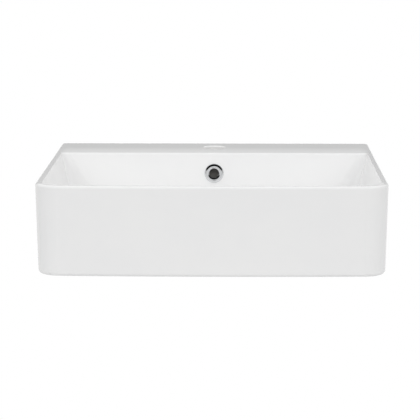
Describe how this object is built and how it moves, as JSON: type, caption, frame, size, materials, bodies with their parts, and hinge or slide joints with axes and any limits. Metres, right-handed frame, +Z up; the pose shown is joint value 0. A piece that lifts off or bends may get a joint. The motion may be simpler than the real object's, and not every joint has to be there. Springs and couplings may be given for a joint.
{
  "type": "washbasin",
  "caption": "Rectangular wall-hung washbasin in white glazed ceramic with a tap deck, trimmed overflow and push-open waste.",
  "frame": {"origin": "on the wall plane, midway between the two wall fixings", "axes": "+X to the user's right, +Y into the wall, +Z up; the apron faces -Y"},
  "size_m": [0.4998, 0.4799, 0.158],
  "materials": {
    "glazed_ceramic": "gloss white glaze",
    "trim_chrome": "bright chrome plate on brass",
    "waste_chrome": "chrome plate on brass",
    "plain_brass": "turned brass",
    "black_rubber": "moulded",
    "white_nylon": "moulded nylon",
    "spring_steel": "drawn stainless wire",
    "zinc_steel": "zinc plated"
  },
  "bodies": {
    "basin": {"basin_body": "glazed_ceramic", "overflow_ring": "trim_chrome", "overflow_grip": "black_rubber", "waste_body": "waste_chrome", "waste_flange_seal": "black_rubber", "waste_cone_seal": "black_rubber", "waste_slip_washer": "white_nylon", "waste_backnut": "plain_brass", "cartridge_base": "plain_brass", "cartridge_barrel": "plain_brass", "cartridge_spring": "spring_steel", "cartridge_nut": "plain_brass", "fixing_studs": "zinc_steel", "fixing_bushes": "white_nylon", "fixing_washers": "zinc_steel", "fixing_nuts": "zinc_steel"},
    "plug": {"plug_cap": "trim_chrome", "plug_seal": "black_rubber", "plug_plunger": "plain_brass", "cam_pin": "spring_steel"},
    "rotor": {"cam_rotor": "white_nylon"}
  },
  "joints": [
    {"name": "plug_push", "type": "slide", "parent": "basin", "child": "plug", "axis": [0, 0, 1], "range_m": [-0.008, 0], "stiffness_N_per_m": 600, "springref_m": 0.006, "deforming": ["cartridge_spring"]},
    {"name": "rotor_turn", "type": "hinge", "parent": "basin", "child": "rotor", "pos_m": [0, -0.24777, -0.05], "axis": [0, 0, 1], "range_deg": [-45, 0]}
  ],
  "couplings": [
    {"joint": "rotor_turn", "follows": "plug_push", "rad_per_m": 98.175}
  ]
}
